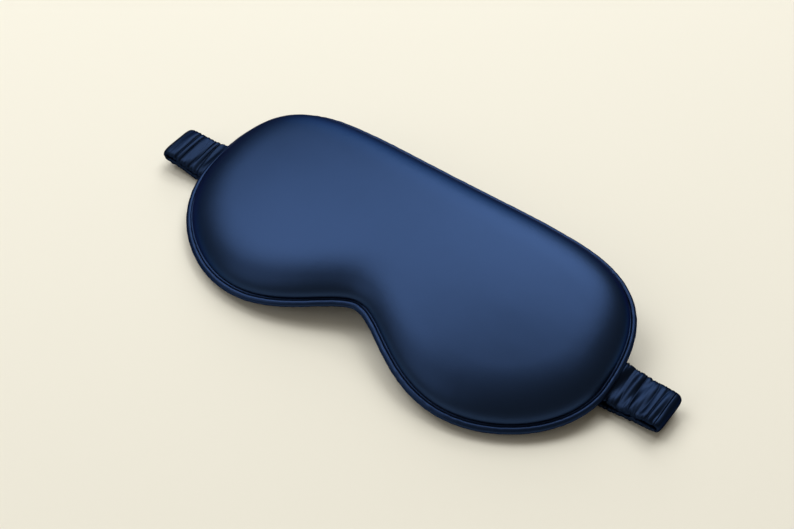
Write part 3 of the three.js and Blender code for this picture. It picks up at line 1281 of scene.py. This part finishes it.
    def _beside_strap(self, spots: np.ndarray) -> np.ndarray:
        """How far spots lie to the side of the strap, which is below 0 over it."""
        return np.abs(spots[:, 1] - self.strap.middle_y) - self.strap.width / 2 - self.gap

    def _panel(self, name: str, crown: float, front: bool) -> bpy.types.Object:
        """A domed satin panel with its edge turned in.

        Args:
            name: the piece's name.
            crown: from the seam to the middle of the dome.
            front: whether it is the front panel, or else the back one, which opens under the strap's ends.

        Returns:
            The panel, without its CAD node.
        """
        side = 1 if front else -1
        self.domes.clear()
        profile = self.dome(self.rim, side * self.hem, side * crown)
        profile += [Spot(inset, side * self.hem) for inset in np.linspace(self.rim, self.allowance, 4)[1:]]
        shape = self.laid(profile, self.stations, pucker=self.pucker, mouth=not front)
        piece = made(name, shape, Finish.SATIN)
        self._outwards(piece, side)
        self._swell(piece)
        thicken(piece, self.panel, 1)
        return piece

    def front(self) -> bpy.types.Object:
        """The front panel."""
        piece = self._panel("front_satin", self.front_crown, True)
        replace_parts(piece, "front_panel")
        return piece

    def back(self) -> bpy.types.Object:
        """The back panel, which is shallower."""
        piece = self._panel("back_satin", self.back_crown, False)
        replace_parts(piece, "back_panel")
        return piece

    def _swell(self, piece: bpy.types.Object) -> None:
        """Swells a panel over the wadding, with its hem and its mouths for the strap held."""
        held_rise, held_beside, mouth_depth = 0.7 * MM, 5.7 * MM, 14 * MM
        spots = coordinates(piece.data)
        rise = np.abs(spots[:, 2] - self.seam.height(spots[:, 0], spots[:, 1]))
        low = rise < self.hem + held_rise
        beside = self._beside_strap(spots) < held_beside
        mouth = beside & (np.abs(spots[:, 0]) > self.outline.half_width - mouth_depth)
        Swelling().run(piece, np.flatnonzero(low | mouth).tolist())

    @staticmethod
    def _outwards(piece: bpy.types.Object, side: int = 1) -> None:
        """Makes an open sheet's faces point out of the pad.

        Args:
            piece: the sheet.
            side: 1 for a sheet that faces up, and -1 for one that faces down.
        """
        outermost = max(piece.data.polygons, key=lambda face: side * face.center.z)
        if side * outermost.normal.z < 0:
            piece.data.flip_normals()

    def lining(self) -> bpy.types.Object:
        """The blackout lining inside the front panel."""
        self.domes.clear()
        profile = self.dome(self.lining_rim, self.lining_base, self.lining_crown, 18)
        piece = made("blackout_lining", self.laid(profile, 160), Finish.LINING)
        self._outwards(piece)
        thicken(piece, self.liner, 0)
        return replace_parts(piece, "blackout_liner")

    def wadding(self) -> bpy.types.Object:
        """The wadding that fills the pad."""
        self.domes.clear()
        upper = self.lining_base + 2 * self.thread_radius + self.gap
        lower = self.hem + self.panel + self.gap
        inside = self.liner + self.fill_ease
        above = self.dome(self.lining_rim + inside, upper, self.lining_crown - inside, 16)
        rim = self.rim + self.panel + self.fill_ease
        below = self.dome(rim, -lower, -(self.back_crown - self.panel - self.fill_ease), 16)
        waist = self.allowance + self.gap
        profile = [*above, Spot(waist, upper), Spot(waist, -lower), *reversed(below)]
        shape = self.laid(profile, 160, change=self._clear_of_strap, pucker=self.pucker)
        piece = made("wadding", shape, Finish.WADDING)
        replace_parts(piece, "padding_core")
        return piece

    def _clear_of_strap(self, turn: np.ndarray, inset: np.ndarray, rise: np.ndarray) -> Pair:
        """Holds the wadding back from the strap's ends.

        Args:
            turn: which meridian.
            inset: how far in from the outline.
            rise: over the seam.

        Returns:
            The new insets, and the rises as they were.
        """
        beside, least = 4 * MM, self.strap.tab + 0.6 * MM
        spots = self.outline.at(turn)[0]
        aside = 1 - smooth(self._beside_strap(spots) / beside)
        at_temple = np.abs(spots[:, 0]) > self.outline.half_width * 0.9
        held = aside * at_temple * (rise < 0)
        return inset + held * np.maximum(least - inset, 0), rise

    def piping(self) -> bpy.types.Object:
        """The piping: a bias strip rolled round the cord, with its two plies in the seam."""
        self.domes.clear()
        radius, slit = self.edge.radius, self.edge.slit / 2
        insets = np.linspace(self.allowance, self.rim, 4)
        profile = [Spot(inset, self.flange) for inset in insets]
        profile += self._wrap(radius, self.flange)
        profile += [Spot(inset, -self.flange) for inset in reversed(insets)]
        profile += [Spot(inset, -slit) for inset in insets]
        profile += reversed(self._wrap(radius - self.edge.wall, slit))
        profile += [Spot(inset, slit) for inset in reversed(insets)]
        piece = made("piping_roll", self.laid(profile, 720, True, self._bias), Finish.PIPING)
        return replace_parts(piece, "piping_cover")

    def _wrap(self, size: float, half_opening: float) -> list[Spot]:
        """A face of the roll, in section, from its upper ply round to its lower one.

        Args:
            size: its radius.
            half_opening: half the height at which it meets the plies.

        Returns:
            The points.
        """
        start = math.asin(half_opening / size)
        turns = np.linspace(start, TAU - start, 26)
        return [Spot(self.edge.radius + size * math.cos(a), size * math.sin(a)) for a in turns]

    def _bias(self, turn: np.ndarray, inset: np.ndarray, rise: np.ndarray) -> Pair:
        """Puckers the roll slantwise, as a bias strip does.

        Args:
            turn: where round the outline.
            inset: how far in from the outline.
            rise: over the seam.

        Returns:
            The new insets and rises.
        """
        height, rate, slope, plies = 0.06 * MM, 75, 0.9, 0.6
        off, radius = inset - self.edge.radius, self.edge.radius
        size, angle = np.hypot(off, rise), np.arctan2(rise, off)
        outside = smooth((size - 0.85 * radius) / (0.12 * radius)) * (inset < 2 * radius)
        slant = turn * rate + angle * slope + 2 * ripple(turn * 5, 51)
        uneven = 0.6 + 0.4 * ripple(turn * 9, 52)
        pucker = height * np.sin(slant) * uneven * (np.abs(angle) > plies) * outside
        return inset + pucker * np.cos(angle), rise + pucker * np.sin(angle)

    def twine(self) -> bpy.types.Object:
        """The twisted cord inside the piping."""
        self.domes.clear()
        profile = circle(self.edge.radius, 0, self._cord_radius(), 18)
        piece = made("piping_twine", self.laid(profile, 1200, True, self._twist), Finish.CORD)
        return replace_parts(piece, "piping_cord")

    def _cord_radius(self) -> float:
        """The radius of the cord, which fills the roll."""
        return self.edge.radius - self.edge.wall - self.gap

    def _twist(self, turn: np.ndarray, inset: np.ndarray, rise: np.ndarray) -> Pair:
        """Gives the cord its three twisted strands.

        Args:
            turn: where round the outline.
            inset: how far in from the outline.
            rise: over the seam.

        Returns:
            The new insets and rises.
        """
        strands, rate, groove = 3, 110, 0.14
        angle = np.arctan2(rise, inset - self.edge.radius)
        strand = np.abs(np.cos(strands / 2 * (angle - turn * rate)))
        size = self._cord_radius() * (1 - groove + groove * strand)
        return self.edge.radius + size * np.cos(angle), size * np.sin(angle)

    def stitches(self) -> bpy.types.Object:
        """The row of stitches round the pad: one thread that dips into the seam between stitches."""
        self.domes.clear()
        profile = circle(*self._stitch_line(), self.thread_radius, 8)
        piece = made("seam_stitches", self.laid(profile, 1680, True, self._dip), Finish.THREAD)
        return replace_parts(piece, "seam_thread")

    def _stitch_line(self) -> tuple[float, float]:
        """The thread's inset from the outline, and its rise over the seam."""
        return 2 * self.edge.radius + self.stitch_margin, self.lining_base + self.thread_radius

    def _dip(self, turn: np.ndarray, inset: np.ndarray, rise: np.ndarray) -> Pair:
        """Pulls the thread thin and down between stitches.

        Args:
            turn: where round the outline.
            inset: how far in from the outline.
            rise: over the seam.

        Returns:
            The new insets and rises.
        """
        rate, thinned, depth = 105, 0.4, 0.22 * MM
        middle = self._stitch_line()[0]
        stitch = np.abs(np.sin(turn * rate)) ** 0.5
        thick = 1 - thinned + thinned * stitch
        return middle + (inset - middle) * thick, rise - depth * (1 - stitch)

    def bar_tack(self, name: str) -> bpy.types.Object:
        """The dense stitches under one end of the strap.

        Args:
            name: which end, left or right.

        Returns:
            The piece.
        """
        low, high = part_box("bar_tack_" + name)
        count, reach, zigzag = 30, 0.6, 0.35
        half_width, half_thickness, below = 0.3 * MM, 0.26 * MM, 0.22 * MM
        shape = bmesh.new()
        for number in range(count):
            stitch = bmesh.ops.create_uvsphere(shape, u_segments=8, v_segments=6, radius=1.0)["verts"]
            across = low.y + (high.y - low.y) * (number + 0.5) / count
            slope = zigzag * (1 if number % 2 else -1)
            for vertex in stitch:
                along = vertex.co.x * (high.x - low.x) * reach
                x = (low.x + high.x) / 2 + along
                y = across + vertex.co.y * half_width + slope * along
                rise = -self.lip - below + vertex.co.z * half_thickness
                vertex.co = (x, y, rise + float(self.seam.height(x, y)))
        piece = made("bar_stitches_" + name, shape, Finish.THREAD)
        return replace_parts(piece, "bar_tack_" + name)

    def build(self) -> list[bpy.types.Object]:
        """Makes all the pad's pieces and puts them on the mask's body.

        Returns:
            The pieces.
        """
        pieces = [self.front(), self.back(), self.lining(), self.wadding(), self.piping(), self.twine()]
        pieces += [self.stitches(), self.bar_tack("left"), self.bar_tack("right")]
        for piece in pieces:
            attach(piece, "mask")
        return pieces


@dataclass(frozen=True)
class Softbox:
    """A square softbox that faces the mask.

    Attributes:
        name: the lamp's name.
        azimuth: where it stands, in degrees from +X towards +Y.
        elevation: in degrees.
        power: in watts.
        size: of a side.
        distance: from the mask.
        colour: of its light.
    """

    name: str
    azimuth: float
    elevation: float
    power: float
    size: float = 1.3
    distance: float = 2.0
    colour: Colour = (1.0, 1.0, 0.985)

    def hang(self) -> None:
        """Adds the lamp to the scene."""
        az, el = math.radians(self.azimuth), math.radians(self.elevation)
        towards = Vector((math.cos(el) * math.cos(az), math.cos(el) * math.sin(az), math.sin(el)))
        place = towards * self.distance
        data = bpy.data.lights.new(self.name, "AREA")
        data.shape = "SQUARE"
        data.size = self.size
        data.energy = self.power
        data.color = self.colour
        lamp = bpy.data.objects.new(self.name, data)
        lamp.location = place
        lamp.rotation_euler = (-place).to_track_quat("-Z", "Y").to_euler()
        bpy.context.scene.collection.objects.link(lamp)


@dataclass
class Studio:
    """A pale paper floor under softboxes behind the mask and to its left, seen from over its nose side.

    Attributes:
        azimuth: of the camera, in degrees, from straight in front of the nose side.
        elevation: of the camera, in degrees.
        distance: from the camera to the mask.
        focal_length: in millimetres, on a sensor 36 mm wide.
        up_offset: how far above the mask's foot the camera aims, across its view.
        side_offset: how far to the right of it.
        softboxes: the lamps.
        haze: strength of the light from all round.
        haze_colour: colour of that light.
        paper: the floor's finish.
        floor_reach: from the middle of the floor to each edge.
    """

    azimuth: float = 36.1427
    elevation: float = 50.0553
    distance: float = 0.62848
    focal_length: float = 66.64
    up_offset: float = 0.00937
    side_offset: float = 0.00045
    softboxes: tuple[Softbox, ...] = (
        Softbox("left_softbox", azimuth=180, elevation=56, power=17.0),
        Softbox("back_softbox", azimuth=100, elevation=58, power=20.0),
        Softbox("low_softbox", azimuth=122, elevation=29, power=10.5),
        Softbox("front_softbox", azimuth=238, elevation=36, power=4.5),
    )
    haze: float = 0.2
    haze_colour: Colour = (1.0, 0.88, 0.70)
    paper: Paper = Paper("cream_paper", (0.84, 0.82, 0.73), (0.81, 0.79, 0.70))
    floor_reach: float = 3.0

    def camera(self) -> None:
        """Sets up the camera."""
        az, el = math.radians(self.azimuth), math.radians(self.elevation)
        back = Vector((math.sin(az) * math.cos(el), -math.cos(az) * math.cos(el), math.sin(el)))
        right = Vector((math.cos(az), math.sin(az), 0))
        up = back.cross(right)
        data = bpy.data.cameras.new("camera")
        data.sensor_width = 36.0
        data.lens = self.focal_length
        eye = bpy.data.objects.new("camera", data)
        eye.location = back * self.distance
        aim = up * self.up_offset + right * self.side_offset
        eye.rotation_euler = (aim - eye.location).to_track_quat("-Z", "Y").to_euler()
        bpy.context.scene.collection.objects.link(eye)
        bpy.context.scene.camera = eye

    def floor(self) -> None:
        """Lays the paper floor."""
        shape = bmesh.new()
        bmesh.ops.create_grid(shape, x_segments=8, y_segments=8, size=self.floor_reach)
        mesh = bpy.data.meshes.new("paper_floor")
        shape.to_mesh(mesh)
        shape.free()
        mesh.materials.append(self.paper.paint())
        floor = bpy.data.objects.new("paper_floor", mesh)
        bpy.context.scene.collection.objects.link(floor)

    def build(self) -> None:
        """Sets up the camera, the floor and the lights."""
        self.camera()
        self.floor()
        for softbox in self.softboxes:
            softbox.hang()
        world = bpy.data.worlds.new("haze")
        world.use_nodes = True
        background = world.node_tree.nodes["Background"]
        background.inputs["Color"].default_value = (*self.haze_colour, 1.0)
        background.inputs["Strength"].default_value = self.haze
        bpy.context.scene.world = world
        bpy.context.scene.view_settings.view_transform = "Standard"


def main() -> None:
    """Builds the studio and the mask, and reports each piece."""
    logging.basicConfig(level=logging.INFO, format="%(message)s")
    Studio().build()
    low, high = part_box("piping_cover")
    seam = Seam(Outline(half_width=high.x, half_height=(high.y - low.y) / 2))
    edge = Piping()
    strap = Strap(seam, edge)
    for piece in [*Pad(seam, strap, edge).build(), *strap.build()]:
        log.info("%s: %d faces", piece.name, len(piece.data.polygons))


if __name__ == "__main__":
    main()
